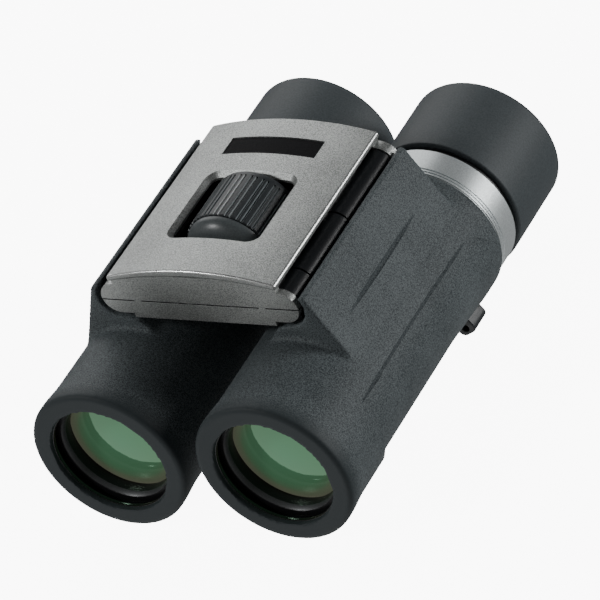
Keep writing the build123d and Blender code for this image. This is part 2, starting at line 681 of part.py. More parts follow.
# --- Focus carriage: nut block, two rails past the wheel and a finger into each hinge ---
NUT_SPAN = (61.0, 65.5)
with BuildPart() as focus_carriage:
    with BuildSketch(across(NUT_SPAN[0], 0, HINGE_Z)):
        with Locations((0, 0.7)):
            Rectangle(2 * 12.6, 5.2)
    extrude(amount=-(NUT_SPAN[1] - NUT_SPAN[0]))
    with BuildSketch(across(FINGER[0], 0, HINGE_Z)):
        with Locations((11.75, 0), (-11.75, 0)):
            Rectangle(1.7, 1.6)
    extrude(amount=-(NUT_SPAN[0] - FINGER[0]))
    with BuildSketch(across(FINGER[0], 0, HINGE_Z)):
        for side in (-1, 1):
            reach = HINGE_X - SLEEVE_NECK_R - 0.1
            with Locations((side * (reach + 12.0) / 2, 0)):
                Rectangle(reach - 12.0, 1.6)
    extrude(amount=-(FINGER[1] - FINGER[0]))
    with BuildSketch(across(NUT_SPAN[0], 0, WHEEL_Z)):
        Circle(SHAFT_R + RUNNING_FIT)
    extrude(amount=-(NUT_SPAN[1] - NUT_SPAN[0]), mode=Mode.SUBTRACT)
save(focus_carriage.part, "focus_carriage")

# --- The two barrels, built alike on either side ---
split_top = (53.0, PRISM_HALF)
split_foot = (62.0, -PRISM_HALF)
half_penta = ((PRISM_SPAN[0], -PRISM_HALF), (PRISM_SPAN[0], PRISM_HALF), split_top, split_foot)
roof_block = (
    (split_top[0] + PRISM_GAP, PRISM_HALF), (PRISM_SPAN[1], PRISM_HALF), (PRISM_SPAN[1], -PRISM_HALF),
    (split_foot[0] + PRISM_GAP, -PRISM_HALF),
)
for name, side in (("left", -1), ("right", 1)):
    housing = make_housing(side)
    lug = make_lug(side)
    save(housing, f"{name}_housing")
    save(lug, f"{name}_strap_lug")
    save(make_armour(side, housing, lug), f"{name}_armour")
    save(make_bezel(side), f"{name}_front_bezel")
    save(make_cell(side), f"{name}_objective_cell")
    save(make_retainer(side), f"{name}_objective_retainer")
    save(make_lens(side, 12.95, 6.2, 58.0, 11.0, -46.0), f"{name}_objective_crown_lens")
    save(make_lens(side, 12.95, 11.0, -46.0, 12.6, -180.0), f"{name}_objective_flint_lens")
    save(make_prism_holder(side), f"{name}_prism_holder")
    save(make_prism(side, half_penta, False), f"{name}_half_penta_prism")
    save(make_prism(side, roof_block, True), f"{name}_roof_prism")
    save(make_ocular_tube(side), f"{name}_ocular_tube")
    save(make_eyepiece_cell(side), f"{name}_eyepiece_cell")
    save(make_lens(side, 10.0, 83.2, -60.0, 87.4, -22.0), f"{name}_field_lens")
    save(make_lens(side, 9.0, 98.9, 24.0, 102.2, -90.0), f"{name}_eye_lens")
    save(make_ocular_ring(side), "left_trim_ring" if side < 0 else "right_diopter_ring")
    save(make_stop_ring(side), f"{name}_stop_ring")
    save(make_cup_guide(side), f"{name}_eyecup_guide")
    save(make_eyecup(side), f"{name}_eyecup")
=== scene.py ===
from math import asin, cos, pi, radians, sin, sqrt, tan

import bpy
from mathutils import Matrix, Vector


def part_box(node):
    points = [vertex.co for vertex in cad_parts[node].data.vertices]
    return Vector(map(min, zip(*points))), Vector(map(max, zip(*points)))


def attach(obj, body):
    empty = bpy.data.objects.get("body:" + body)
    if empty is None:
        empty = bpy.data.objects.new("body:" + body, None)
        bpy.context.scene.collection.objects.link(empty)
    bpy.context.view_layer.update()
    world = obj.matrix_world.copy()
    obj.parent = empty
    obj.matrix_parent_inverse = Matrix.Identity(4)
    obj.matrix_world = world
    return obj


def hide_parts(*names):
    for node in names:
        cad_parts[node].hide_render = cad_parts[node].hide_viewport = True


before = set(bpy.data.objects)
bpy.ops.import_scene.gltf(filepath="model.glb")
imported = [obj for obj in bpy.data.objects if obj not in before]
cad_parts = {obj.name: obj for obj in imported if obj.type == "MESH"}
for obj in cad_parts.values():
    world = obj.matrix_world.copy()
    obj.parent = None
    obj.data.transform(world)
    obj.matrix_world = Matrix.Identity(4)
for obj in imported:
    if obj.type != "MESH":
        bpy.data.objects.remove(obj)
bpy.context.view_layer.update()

# Compact folding binoculars. Metres, Z up, objectives at -Y, resting on the floor at Z = 0.


# ---------------------------------------------------------------------------------------------
# Barrel housings: black glass-filled plastic shells, moulded with the knuckles of the two hinges
# on top. Each holds a glass-filled carrier with the roof prism and the half-penta prism.
# ---------------------------------------------------------------------------------------------
mm = 0.001
armour_low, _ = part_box("right_armour")
pin_low, pin_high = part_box("right_hinge_pin")
front_rim = armour_low.y
hinge_x = (pin_low.x + pin_high.x) / 2
hinge_z = (pin_low.z + pin_high.z) / 2
hinge_rise = 26.0
barrel_z = hinge_z - hinge_rise * mm
tube_r = 17.75
rim_r = 18.15
body_end = 79.0
roof_angle = radians(23.3)
roof_reach = 16.75
wedge_span = (22.8, 73.8)


def at(distance):
    """Y of a place that many millimetres behind the front rim."""
    return front_rim + distance * mm


def deselect():
    if bpy.context.object and bpy.context.object.mode != "OBJECT":
        bpy.ops.object.mode_set(mode="OBJECT")
    bpy.ops.object.select_all(action="DESELECT")


def pick(piece):
    """Makes a piece the only one selected."""
    deselect()
    piece.select_set(True)
    bpy.context.view_layer.objects.active = piece


def rounded(points, steps=4):
    """An outline with round corners. Each point is (across, up) or (across, up, corner radius)."""
    smooth = []
    for index, point in enumerate(points):
        corner = Vector(point[:2])
        if len(point) == 2:
            smooth.append(corner)
            continue
        before = (Vector(points[index - 1][:2]) - corner).normalized()
        after = (Vector(points[(index + 1) % len(points)][:2]) - corner).normalized()
        half = before.angle(after) / 2
        reach = point[2] / tan(half)
        centre = corner + (before + after).normalized() * point[2] / sin(half)
        first = corner + before * reach - centre
        last = corner + after * reach - centre
        for step in range(steps + 1):
            smooth.append(centre + first.lerp(last, step / steps).normalized() * point[2])
    return smooth


def drawn(name, places):
    """A chain of edges through those places, drawn by extruding one corner after another."""
    deselect()
    bpy.ops.mesh.primitive_plane_add(size=mm)
    piece = bpy.context.object
    piece.name = piece.data.name = name
    bpy.ops.object.mode_set(mode="EDIT")
    bpy.ops.mesh.merge(type="CENTER")
    bpy.ops.transform.translate(value=places[0])
    for here, there in zip(places, places[1:]):
        bpy.ops.mesh.extrude_region_move(TRANSFORM_OT_translate={"value": there - here})
    return piece


def cleaned(piece, angle=35):
    """Merges doubles, turns the faces outwards and smooths the shading up to that angle."""
    pick(piece)
    bpy.ops.object.mode_set(mode="EDIT")
    bpy.ops.mesh.select_all(action="SELECT")
    bpy.ops.mesh.remove_doubles(threshold=1e-6)
    bpy.ops.mesh.normals_make_consistent(inside=False)
    bpy.ops.object.mode_set(mode="OBJECT")
    bpy.ops.object.shade_smooth_by_angle(angle=radians(angle))
    return piece


def turned(name, x, z, outline, steps=96):
    """A piece turned about a line along Y. The outline runs (distance, radius) in millimetres."""
    places = [Vector((x, at(distance), z + radius * mm)) for distance, radius in outline]
    piece = drawn(name, places)
    bpy.ops.mesh.select_all(action="SELECT")
    bpy.ops.mesh.spin(steps=steps, angle=2 * pi, center=(x, 0, z), axis=(0, 1, 0), use_auto_merge=True)
    return cleaned(piece)


def ring_of(name, x, z, outline, steps=96):
    """A turned piece whose outline closes on itself."""
    return turned(name, x, z, [*outline, outline[0]], steps)


def bar(name, x, z, outline, front, rear):
    """A bar along Y with that cross-section, in millimetres, from front to rear."""
    places = [Vector((x + u * mm, at(front), z + v * mm)) for u, v in outline]
    piece = drawn(name, places)
    bpy.ops.mesh.select_all(action="SELECT")
    bpy.ops.mesh.edge_face_add()
    bpy.ops.mesh.extrude_region_move(TRANSFORM_OT_translate={"value": (0, (rear - front) * mm, 0)})
    return cleaned(piece)


def applied(piece, kind, **settings):
    """Adds a modifier with those settings and applies it."""
    pick(piece)
    modifier = piece.modifiers.new(kind.title(), kind)
    for key, value in settings.items():
        setattr(modifier, key, value)
    bpy.ops.object.modifier_apply(modifier=modifier.name)
    return piece


def combined(piece, other, operation):
    """Joins another piece to this one, or cuts it out, and removes the other."""
    applied(piece, "BOOLEAN", object=other, operation=operation, solver="EXACT")
    bpy.data.objects.remove(other)
    return piece


def mirrored(piece, name):
    """The other barrel's copy of a piece, with its own mesh."""
    copy = piece.copy()
    copy.data = piece.data.copy()
    copy.name = copy.data.name = name
    bpy.context.collection.objects.link(copy)
    copy.data.transform(Matrix.Scale(-1, 4, Vector((1, 0, 0))))
    return cleaned(copy)


def circle_outline(radius, count=64, x=0.0, y=0.0):
    angles = [2 * pi * k / count for k in range(count)]
    return [(x + radius * cos(angle), y + radius * sin(angle)) for angle in angles]


patches_per_metre = 60.0
patch_share = 0.22


def grained(
    name, dark, light, grain, roughness, bump=0.1, spread=0.14, smooth_shaded_front=None, **sockets
):
    """A finish with a grain of that size, in mm, over broad patches, and a soft bump.

    With a smooth shaded front, the grain starts only between those two distances from the front rim;
    ahead of them the colour is held at the dark end: smoother rubber, with painted shade on the rim's
    front.
    """
    material = bpy.data.materials.new(name)
    material.use_nodes = True
    nodes, links = material.node_tree.nodes, material.node_tree.links
    shader = nodes["Principled BSDF"]
    for socket, value in sockets.items():
        shader.inputs[socket.replace("_", " ")].default_value = value
    place = nodes.new("ShaderNodeTexCoord")
    fine = nodes.new("ShaderNodeTexNoise")
    fine.inputs["Scale"].default_value = 1 / (grain * mm)
    fine.inputs["Detail"].default_value = 2.0
    broad = nodes.new("ShaderNodeTexNoise")
    broad.inputs["Scale"].default_value = patches_per_metre
    broad.inputs["Detail"].default_value = 3.0
    blended = nodes.new("ShaderNodeMix")
    blended.inputs["Factor"].default_value = patch_share
    colour = nodes.new("ShaderNodeValToRGB")
    colour.color_ramp.elements[0].position = 0.5 - spread
    colour.color_ramp.elements[0].color = (*dark, 1)
    colour.color_ramp.elements[1].position = 0.5 + spread
    colour.color_ramp.elements[1].color = (*light, 1)
    gloss = nodes.new("ShaderNodeMapRange")
    gloss.inputs["To Min"].default_value = roughness[0]
    gloss.inputs["To Max"].default_value = roughness[1]
    relief = nodes.new("ShaderNodeBump")
    relief.inputs["Strength"].default_value = bump
    relief.inputs["Distance"].default_value = grain * mm
    for texture in (fine, broad):
        links.new(place.outputs["Object"], texture.inputs["Vector"])
    links.new(fine.outputs["Fac"], blended.inputs["A"])
    links.new(broad.outputs["Fac"], blended.inputs["B"])
    links.new(blended.outputs["Result"], colour.inputs["Fac"])
    links.new(colour.outputs["Color"], shader.inputs["Base Color"])
    links.new(broad.outputs["Fac"], gloss.inputs["Value"])
    links.new(gloss.outputs["Result"], shader.inputs["Roughness"])
    links.new(fine.outputs["Fac"], relief.inputs["Height"])
    links.new(relief.outputs["Normal"], shader.inputs["Normal"])
    # Painted shade: the front of the rim is held at the dark colour, and its grain and bump fade out.
    if smooth_shaded_front:
        along = nodes.new("ShaderNodeSeparateXYZ")
        start = nodes.new("ShaderNodeMapRange")
        start.inputs["From Min"].default_value = at(smooth_shaded_front[0])
        start.inputs["From Max"].default_value = at(smooth_shaded_front[1])
        held = nodes.new("ShaderNodeMix")
        held.inputs["A"].default_value = 0.5 - spread
        strength = nodes.new("ShaderNodeMath")
        strength.operation = "MULTIPLY"
        strength.inputs[1].default_value = bump
        links.new(place.outputs["Object"], along.inputs["Vector"])
        links.new(along.outputs["Y"], start.inputs["Value"])
        links.new(start.outputs["Result"], held.inputs["Factor"])
        links.new(blended.outputs["Result"], held.inputs["B"])
        links.new(held.outputs["Result"], colour.inputs["Fac"])
        links.new(start.outputs["Result"], strength.inputs[0])
        links.new(strength.outputs["Value"], relief.inputs["Strength"])
    return material


def painted(piece, material):
    piece.data.materials.clear()
    piece.data.materials.append(material)


def carried(names, material):
    """Gives its finish to a piece that keeps the shape it was designed with."""
    for name in names:
        painted(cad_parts[name], material)


def fitted(piece, node, body, material):
    """Puts a finished piece on its body, in place of the plain one."""
    painted(piece, material)
    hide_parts(node)
    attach(piece, body)


def on_both(piece, part, body, material):
    """Fits the right barrel's piece, and its mirror image on the left barrel."""
    left = mirrored(piece, piece.name.replace("right", "left"))
    for side, finished in (("right", piece), ("left", left)):
        fitted(finished, f"{side}_{part}", f"{side}_{body}", material)


def pair(part):
    return f"left_{part}", f"right_{part}"


housing_plastic = grained(
    "satin_black_plastic", (0.007, 0.008, 0.009), (0.013, 0.015, 0.017), 0.25, (0.28, 0.4), 0.12,
    Specular_IOR_Level=0.3,
)
carried([*pair("housing"), *pair("prism_holder")], housing_plastic)
prism_glass = grained(
    "polished_prism_glass", (0.82, 0.9, 0.88), (0.9, 0.96, 0.95), 2.0, (0.02, 0.05), 0.0,
    Transmission_Weight=0.95, IOR=1.57,
)
carried([*pair("half_penta_prism"), *pair("roof_prism")], prism_glass)


# ---------------------------------------------------------------------------------------------
# Objectives: a black anodised cell with a cemented doublet, held by a turned retaining ring whose
# front is coned, and a thin bezel just inside the rubber rim. The cell slides to focus.
# ---------------------------------------------------------------------------------------------
anodised = grained(
    "black_anodised", (0.010, 0.010, 0.011), (0.018, 0.018, 0.02), 0.18, (0.3, 0.4), 0.06,
    Metallic=0.35,
)
carried(pair("objective_cell"), anodised)
carried(pair("objective_flint_lens"), prism_glass)

bezel_outline = [
    (1.02, 16.2), (1.02, 13.75), (1.12, 13.55), (1.3, 13.5), (1.9, 13.5), (2.0, 13.6), (2.0, 16.2),
]
bezel = ring_of("right_bezel_ring", hinge_x, barrel_z, bezel_outline)
bezel_metal = grained(
    "polished_black_bezel", (0.05, 0.05, 0.052), (0.08, 0.08, 0.084), 0.3, (0.12, 0.2), 0.02,
    Metallic=0.9,
)
on_both(bezel, "front_bezel", "barrel", bezel_metal)

retainer_outline = [
    (3.45, 14.45), (3.45, 12.95), (3.55, 12.82), (4.6, 12.45), (4.7, 12.4), (6.85, 12.4), (6.85, 14.45),
]
retainer = ring_of("right_retaining_ring", hinge_x, barrel_z, retainer_outline)
retainer_metal = grained(
    "grey_turned_ring", (0.09, 0.092, 0.095), (0.13, 0.133, 0.138), 0.2, (0.3, 0.42), 0.05,
    Metallic=0.6,
)
on_both(retainer, "objective_retainer", "objective", retainer_metal)
cone_span = (3.5, 4.68)
for name in ("right_retaining_ring", "left_retaining_ring"):
    ring = bpy.data.objects[name]
    ring.data.materials.append(anodised)
    for face in ring.data.polygons:
        distance = (face.center.y - front_rim) / mm
        face.material_index = 0 if cone_span[0] < distance < cone_span[1] else 1


def cap_of_sphere(vertex, curve, radius, steps):
    """Points from a lens surface's vertex out to its edge; curve is its radius of curvature."""
    bend = 1 if curve > 0 else -1
    heights = [radius * step / steps for step in range(steps + 1)]
    depths = [abs(curve) - sqrt(curve ** 2 - height ** 2) for height in heights]
    return [(vertex + bend * depth, height) for depth, height in zip(depths, heights)]


def coated(name, zones, painted_glow, roughness=0.03):
    """Coated glass: its tint runs from the middle to the rim through those (radius, colour) zones.

    The glow is painted light: an emission in the tint's colour, standing in for the light that comes
    through from the other end of the barrel.
    """
    material = bpy.data.materials.new(name)
    material.use_nodes = True
    nodes, links = material.node_tree.nodes, material.node_tree.links
    shader = nodes["Principled BSDF"]
    shader.inputs["Metallic"].default_value = 0.5
    # Painted light: the glass glows by itself in its tint's colour.
    shader.inputs["Emission Strength"].default_value = painted_glow
    shader.inputs["Roughness"].default_value = roughness
    place = nodes.new("ShaderNodeTexCoord")
    centre = nodes.new("ShaderNodeMapping")
    centre.inputs["Location"].default_value = (0, 0, -barrel_z)
    centre.inputs["Scale"].default_value = (1, 0, 1)
    fold = nodes.new("ShaderNodeSeparateXYZ")
    side = nodes.new("ShaderNodeMath")
    side.operation = "ABSOLUTE"
    offset = nodes.new("ShaderNodeMath")
    offset.operation = "SUBTRACT"
    offset.inputs[1].default_value = hinge_x
    across = nodes.new("ShaderNodeCombineXYZ")
    reach = nodes.new("ShaderNodeVectorMath")
    reach.operation = "LENGTH"
    scaled = nodes.new("ShaderNodeMath")
    scaled.operation = "DIVIDE"
    scaled.inputs[1].default_value = zones[-1][0] * mm
    tint = nodes.new("ShaderNodeValToRGB")
    while len(tint.color_ramp.elements) < len(zones):
        tint.color_ramp.elements.new(0.5)
    for element, (radius, colour) in zip(tint.color_ramp.elements, zones):
        element.position = radius / zones[-1][0]
        element.color = (*colour, 1)
    links.new(place.outputs["Object"], centre.inputs["Vector"])
    links.new(centre.outputs["Vector"], fold.inputs["Vector"])
    links.new(fold.outputs["X"], side.inputs[0])
    links.new(side.outputs["Value"], offset.inputs[0])
    links.new(offset.outputs["Value"], across.inputs["X"])
    links.new(fold.outputs["Z"], across.inputs["Z"])
    links.new(across.outputs["Vector"], reach.inputs[0])
    links.new(reach.outputs["Value"], scaled.inputs[0])
    links.new(scaled.outputs["Value"], tint.inputs["Fac"])
    links.new(tint.outputs["Color"], shader.inputs["Base Color"])
    links.new(tint.outputs["Color"], shader.inputs["Emission Color"])
    return material


crown_lens_r = 12.9
crown_outline = [
    *cap_of_sphere(6.2, 58.0, crown_lens_r, 16),
    *reversed(cap_of_sphere(11.0, -46.0, crown_lens_r, 8)),
]
crown = turned("right_crown_glass", hinge_x, barrel_z, crown_outline)
green_coating = coated(
    "green_coated_glass",
    (
        (0, (0.07, 0.185, 0.10)), (8.6, (0.075, 0.18, 0.095)), (10.2, (0.085, 0.165, 0.09)),
        (11.2, (0.115, 0.15, 0.09)), (crown_lens_r, (0.145, 0.15, 0.105)),
    ),
    0.4,
)
on_both(crown, "objective_crown_lens", "objective", green_coating)


# ---------------------------------------------------------------------------------------------
# Barrel armour: a sleeve of grained rubber moulded over each barrel and its wedge, soft at every
# edge, from the swollen front rim to the silver ring. A finger recess lies in the outer side,
# with a shallow crease along its top and another on the roof of the wedge.
# ---------------------------------------------------------------------------------------------
rim_span = (3.0, 8.0)
mouth_r = 13.6
mouth_depth = 4
hollow_r = 16.3
channel_span = (20, 76)
channel_r = 5.1
inner_channel_r = 6.3
pad_half = 3
pad_span = (28, 72)
recess_span = (17.5, 76.0)
recess_heights = (-15.0, 7.0)
recess_corner = 9
recess_floor = [(0, 0), (0, 16.85), (56, 16.85), (77, 17.8), (90, 17.8), (90, 0)]
rubber_wall = 1.25
wall_end = 1.2
web_half = 2.6
web_spans = ((24.8, 31.6), (50.2, 71.2))
slot_half = 1.15
slot_span = (36.8, 41.5)


def wedge_outline(skin):
    """Cross-section of the wedge from barrel axis to hinge, that far under its rubber surface."""
    reach = roof_reach - skin
    top = 28.8 - skin
    return [
        ((reach - top * sin(roof_angle)) / cos(roof_angle), top),
        (reach * cos(roof_angle), reach * sin(roof_angle)),
        (0, 0), (-11.1 + skin, 11.5 - skin), (-2.9 + skin, 20.3 - skin), (-2.9 + skin, top),
    ]


crease_r = 0.8
# Each crease: the way it faces, the surface's distance from the axis, the climb along that
# surface, then its middle, length and depth.
creases = (
    (roof_angle, roof_reach, 13.3, 47.0, 41.0, 0.3),
    (radians(24.5), tube_r, 0.0, 42.0, 62.0, 0.36),
)


def crease_axis(facing, surface, climb, depth):
    """Where the middle of a crease's spindle lies, across and up from the barrel's axis."""
    reach = surface + crease_r - depth
    across = (reach * cos(facing) - climb * sin(facing)) * mm
    return across, (reach * sin(facing) + climb * cos(facing)) * mm


def cut_crease(armour, facing, surface, climb, middle, length, depth):
    """A shallow groove along the barrel that fades out at both ends, made with a long spindle."""
    deselect()
    bpy.ops.mesh.primitive_uv_sphere_add(segments=24, ring_count=48, radius=crease_r * mm)
    crease = bpy.context.object
    bpy.ops.object.mode_set(mode="EDIT")
    bpy.ops.transform.resize(value=(1, length / (2 * crease_r), 1))
    across, up = crease_axis(facing, surface, climb, depth)
    bpy.ops.transform.translate(value=(hinge_x + across, at(middle), barrel_z + up))
    bpy.ops.object.mode_set(mode="OBJECT")
    combined(armour, crease, "DIFFERENCE")


def make_armour():
    x, z = hinge_x, barrel_z
    profile = [
        (0, 0), (0, rim_r, 0.9), (rim_span[0], rim_r, 6), (rim_span[1], tube_r, 8),
        (body_end, tube_r, 0.6), (body_end, 0),
    ]
    armour = turned("right_armour_rubber", x, z, rounded(profile), 128)
    wedge = bar("wedge", x, z, wedge_outline(0), *wedge_span)
    channel = bar("channel", x, hinge_z, circle_outline(channel_r), *channel_span)
    combined(wedge, channel, "DIFFERENCE")
    trim = bar("trim", x, z, [(0.3, 20.9), (-4, 20.1), (-4, 30), (0.3, 30)], *channel_span)
    combined(wedge, trim, "DIFFERENCE")
    combined(armour, wedge, "UNION")
    foot = -z / mm
    pad = bar(
        "pad", x, z, [(-pad_half, -16), (pad_half, -16), (pad_half, foot), (-pad_half, foot)], *pad_span
    )
    combined(armour, pad, "UNION")
    mouth = [(-2, 0), (-2, mouth_r), (mouth_depth, mouth_r), (mouth_depth, 0)]
    bore = turned("bore", x, z, mouth, 128)
    combined(armour, bore, "DIFFERENCE")
    applied(armour, "REMESH", mode="VOXEL", voxel_size=0.5 * mm, adaptivity=0)
    applied(armour, "SMOOTH", factor=0.5, iterations=3)
    (front, rear), (low, high) = recess_span, recess_heights
    corners = [(front, low), (rear, low), (rear, high), (front, high)]
    panel = rounded([(*corner, recess_corner) for corner in corners], 8)
    places = [Vector((x + 4 * mm, at(u), z + v * mm)) for u, v in panel]
    recess = drawn("recess", places)
    bpy.ops.mesh.select_all(action="SELECT")
    bpy.ops.mesh.edge_face_add()
    bpy.ops.mesh.extrude_region_move(TRANSFORM_OT_translate={"value": (20 * mm, 0, 0)})
    cleaned(recess)
    core = turned("core", x, z, recess_floor, 128)
    combined(recess, core, "DIFFERENCE")
    combined(armour, recess, "DIFFERENCE")
    inside = turned("inside", x, z, [(1.0, 0), (1.0, hollow_r), (90, hollow_r), (90, 0)], 128)
    combined(armour, inside, "DIFFERENCE")
    ends = wedge_span[0] + wall_end, wedge_span[1] - wall_end
    core = bar("core", x, z, wedge_outline(rubber_wall), *ends)
    channel = bar("channel", x, hinge_z, circle_outline(inner_channel_r), *channel_span)
    combined(core, channel, "DIFFERENCE")
    combined(armour, core, "DIFFERENCE")
    for half, (front, rear) in [*((web_half, span) for span in web_spans), (slot_half, slot_span)]:
        outline = [(-half, 14), (half, 14), (half, 24), (-half, 24)]
        combined(armour, bar("web", x, z, outline, front, rear), "DIFFERENCE")
    for crease in creases:
        cut_crease(armour, *crease)
    return cleaned(armour, 50)


right_armour = make_armour()
# The front of the rim keeps the dark grain colour: painted shade on its front face, over smoother
# rubber.
armour_rubber = grained(
    "grained_armour_rubber", (0.03, 0.038, 0.041), (0.13, 0.15, 0.156), 0.27, (0.5, 0.62),
    0.35, 0.12, smooth_shaded_front=(0.6, 5.0), Specular_IOR_Level=0.2,
)
on_both(right_armour, "armour", "barrel", armour_rubber)
# Painted shade: a darker copy of the rubber goes on the faces inside each crease.
crease_shade_rubber = grained(
    "shaded_crease_rubber", (0.024, 0.03, 0.033), (0.092, 0.107, 0.112), 0.27, (0.6, 0.7),
    0.2, 0.12, Specular_IOR_Level=0.1,
)
inside_margin = 1.02
for name in ("left_armour_rubber", "right_armour_rubber"):
    skin = bpy.data.objects[name]
    skin.data.materials.append(crease_shade_rubber)
    for face in skin.data.polygons:
        for facing, surface, climb, middle, length, depth in creases:
            across, up = crease_axis(facing, surface, climb, depth)
            offset = Vector((
                abs(face.center.x) - hinge_x - across,
                (face.center.y - at(middle)) * 2 * crease_r / length,
                face.center.z - barrel_z - up,
            ))
            if offset.length < inside_margin * crease_r * mm:
                face.material_index = 1


# ---------------------------------------------------------------------------------------------
# Strap lugs: a small moulded loop screwed to the lower outer side of each barrel, with a hole
# along it for the cord of a neck strap. Its corners are rounded so that it doesn't snag.
# ---------------------------------------------------------------------------------------------
lug_turn = radians(-60)
lug_span = (67.2, 73.2)
eye_reach = 18.75
eye_r = 0.9
lug_foot = 15.2
lug_tip = 20.55
lug_half = 2.45
lug_corner = 1.5


def turned_outline(points, angle):
    """Outline points turned about the barrel axis."""
    return [(u * cos(angle) - v * sin(angle), u * sin(angle) + v * cos(angle)) for u, v in points]


def make_lug():
    block = rounded([
        (lug_foot, -lug_half), (lug_tip, -lug_half, lug_corner), (lug_tip, lug_half, lug_corner),
        (lug_foot, lug_half),
    ], 6)
    past_ends = lug_span[0] - 1, lug_span[1] + 1
    lug = bar("right_strap_loop", hinge_x, barrel_z, turned_outline(block, lug_turn), *lug_span)
    hole = turned_outline(circle_outline(eye_r, 24, eye_reach), lug_turn)
    combined(lug, bar("hole", hinge_x, barrel_z, hole, *past_ends), "DIFFERENCE")
    inside = bar("inside", hinge_x, barrel_z, circle_outline(hollow_r, 96), *past_ends)
    combined(lug, inside, "DIFFERENCE")
    applied(lug, "BEVEL", width=0.35 * mm, segments=3, limit_method="ANGLE", angle_limit=radians(40))
    return cleaned(lug)


lug_plastic = grained(
    "moulded_lug_plastic", (0.02, 0.023, 0.025), (0.035, 0.039, 0.042), 0.2, (0.35, 0.45), 0.15,
    Specular_IOR_Level=0.3,
)
on_both(make_lug(), "strap_lug", "barrel", lug_plastic)


# ---------------------------------------------------------------------------------------------
# Eyepieces: a black tube screwed into the housing, and a cell with two lenses inside it. On the
# left a silver trim ring is pressed on; on the right the same ring turns and moves the cell.
# ---------------------------------------------------------------------------------------------
carried([*pair("ocular_tube"), *pair("eyepiece_cell")], anodised)
carried(pair("field_lens"), prism_glass)

eye_lens_r = 8.95
eye_outline = [
    *cap_of_sphere(98.9, 24.0, eye_lens_r, 8),
    *reversed(cap_of_sphere(102.2, -90.0, eye_lens_r, 12)),
]
eye_lens = turned("right_eye_glass", hinge_x, barrel_z, eye_outline)
eye_coating = coated(
    "violet_coated_glass",
    ((0, (0.07, 0.06, 0.12)), (6.0, (0.06, 0.07, 0.11)), (eye_lens_r, (0.03, 0.05, 0.045))),
    0.1,
)
eye_left = mirrored(eye_lens, "left_eye_glass")
fitted(eye_left, "left_eye_lens", "left_barrel", eye_coating)
fitted(eye_lens, "right_eye_lens", "right_eyepiece", eye_coating)

ring_r = 17.2
ring_bore = 15.45
ring_span = (79.25, 86.95)
low, bead = ring_r - 0.2, ring_r - 0.02
ring_outline = [(ring_span[0], ring_bore), (ring_span[0], low)]
for start in (79.4, 80.2):
    ring_outline += [(start, low), (start + 0.1, bead), (start + 0.45, bead), (start + 0.55, low)]
ring_outline += [
    (80.95, low), (81.05, ring_r), (86.75, ring_r), (ring_span[1], low), (ring_span[1], ring_bore),
]
silver_ring = ring_of("right_silver_ring", hinge_x, barrel_z, ring_outline, 128)
ring_silver = grained(
    "pearl_silver_paint", (0.48, 0.515, 0.52), (0.63, 0.675, 0.68), 0.3, (0.32, 0.42), 0.06,
    Metallic=0.55,
)
left_ring = mirrored(silver_ring, "left_silver_ring")
fitted(left_ring, "left_trim_ring", "left_barrel", ring_silver)
fitted(silver_ring, "right_diopter_ring", "right_diopter_ring", ring_silver)

stop_outline = [
    (87.17, 15.32), (87.17, 16.3), (87.3, 16.48), (87.95, 16.48), (88.08, 16.3), (88.08, 15.32),
]
stop = ring_of("right_rubber_stop", hinge_x, barrel_z, stop_outline)
on_both(stop, "stop_ring", "barrel", housing_plastic)


# ---------------------------------------------------------------------------------------------
# Eyecups: a soft-touch rubber cup on a slick guide sleeve with helical slots. Twisting it draws
# the cup out along the slots. Its rear edge is rounded for the face, and a funnel leads inside.
# ---------------------------------------------------------------------------------------------
guide_plastic = grained(
    "slick_guide_plastic", (0.05, 0.05, 0.052), (0.075, 0.075, 0.078), 0.3, (0.28, 0.36), 0.05,
)
carried(pair("eyecup_guide"), guide_plastic)

cup_r = 17.6
cup_bore = 16.4
cup_span = (88.45, 111.0)
funnel_foot = 104.65
cup_outline = rounded([
    (cup_span[0], cup_bore), (cup_span[0], cup_r, 0.5), (cup_span[1], cup_r, 1.5),
    (cup_span[1], 14.4, 0.8), (105.0, 11.0, 0.4), (funnel_foot, 11.0), (funnel_foot, cup_bore),
], 8)
cup = ring_of("right_soft_eyecup", hinge_x, barrel_z, cup_outline, 128)
cup_rubber = grained(
    "soft_touch_rubber", (0.046, 0.055, 0.059), (0.064, 0.075, 0.08), 0.35, (0.48, 0.6), 0.05,
    Specular_IOR_Level=0.25,
)
on_both(cup, "eyecup", "eyecup", cup_rubber)


# ---------------------------------------------------------------------------------------------
# Bridge frame: a black moulded tray between the two hinges. It carries the shaft of the focus
# wheel in two webs, and the ground steel hinge pins run through its knuckles.
# ---------------------------------------------------------------------------------------------
carried(["bridge_frame"], housing_plastic)
pin_steel = grained(
    "ground_pin_steel", (0.5, 0.5, 0.5), (0.62, 0.62, 0.62), 0.15, (0.2, 0.3), 0.05, Metallic=1.0,
)
carried(pair("hinge_pin"), pin_steel)


# ---------------------------------------------------------------------------------------------
# Bridge covers: a die-cast clamshell in satin silver paint, split at mid height and held by four
# screws from below. The top cover is crowned, with a flared window for the focus wheel.
# ---------------------------------------------------------------------------------------------
plate_x = 20.87
crown_top = hinge_z / mm + 9.0
plate_edge = hinge_z / mm + 6.2
crown_r = (plate_x ** 2 + (crown_top - plate_edge) ** 2) / (2 * (crown_top - plate_edge))
plate_span = (22.4, 74.2)
plate_thickness = 1.35
middle_thickness = 0.45
plate_bevel = 0.5
floor_drop = 5.0
floor_thickness = 1.4
floor_x = 16.2
side_wall = (14.6, 16.2)
body_span = (22.9, 73.9)
pin_hole_r = 1.52
pin_hole_span = (23.5, 73.3)
wall_spans = ((22.9, 24.6), (71.4, 73.9))
side_spans = ((22.9, 31.6), (50.2, 73.9))
side_top = 6.0
split = -0.4
split_gap = 0.14
ear_r = 3.9
window_x = 10.5
window_span = (34.5, 55.1)
window_corner = 2.0
